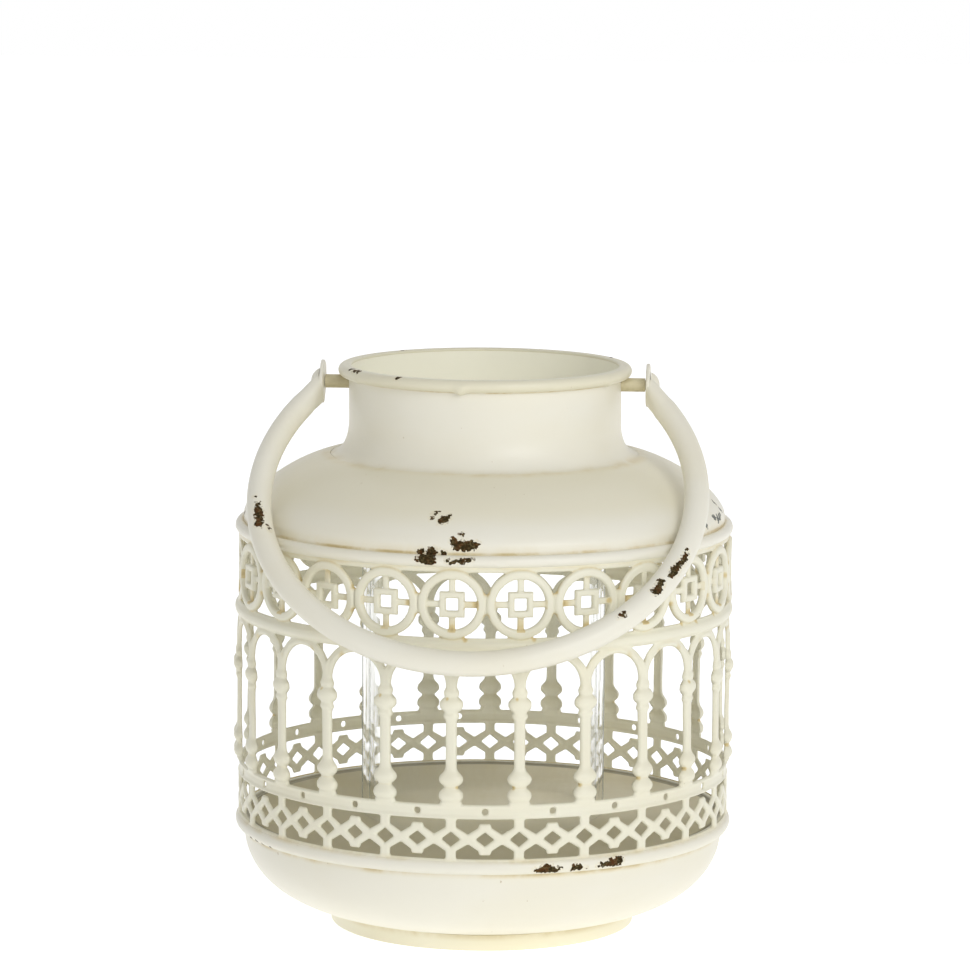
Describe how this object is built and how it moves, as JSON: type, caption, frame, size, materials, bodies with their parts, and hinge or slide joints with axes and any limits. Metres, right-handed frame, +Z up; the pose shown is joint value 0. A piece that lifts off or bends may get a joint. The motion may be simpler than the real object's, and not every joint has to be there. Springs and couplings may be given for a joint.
{
  "type": "lantern",
  "caption": "Round openwork metal candle lantern of milk-churn form, with a domed shoulder, a short neck, a swinging tube handle and a loose glass cylinder inside.",
  "frame": {"origin": "centre of the foot ring, on the table", "axes": "+Z up along the lantern's axis, -Y towards the front over which the handle rests, +X to the right along the handle's pivots"},
  "size_m": [0.2027, 0.2183, 0.228],
  "materials": {
    "cream_enamel": "worn satin enamel",
    "foot_enamel": "worn satin enamel, yellowed",
    "floor_paint": "matt, dusty",
    "stained_steel": "stained brown",
    "clear_glass": "clear"
  },
  "bodies": {
    "lantern": {"foot_ring": "foot_enamel", "base_bowl": "cream_enamel", "floor_plate": "floor_paint", "cage_panel": "cream_enamel", "shoulder_dome": "cream_enamel", "neck_collar": "cream_enamel", "rim_ring": "cream_enamel", "spacer_left": "stained_steel", "spacer_right": "stained_steel", "rivet_left": "cream_enamel", "rivet_right": "cream_enamel", "washer_left": "stained_steel", "washer_right": "stained_steel"},
    "handle": {"handle": "cream_enamel"},
    "glass_cylinder": {"glass_cylinder": "clear_glass"}
  },
  "joints": [
    {"name": "handle_swing", "type": "hinge", "parent": "lantern", "child": "handle", "pos_m": [0, 0, 0.21939], "axis": [-1, 0, 0], "range_deg": [0, 260]},
    {"name": "glass_lift", "type": "slide", "parent": "lantern", "child": "glass_cylinder", "axis": [0, 0, 1], "range_m": [0, 0.19]}
  ]
}
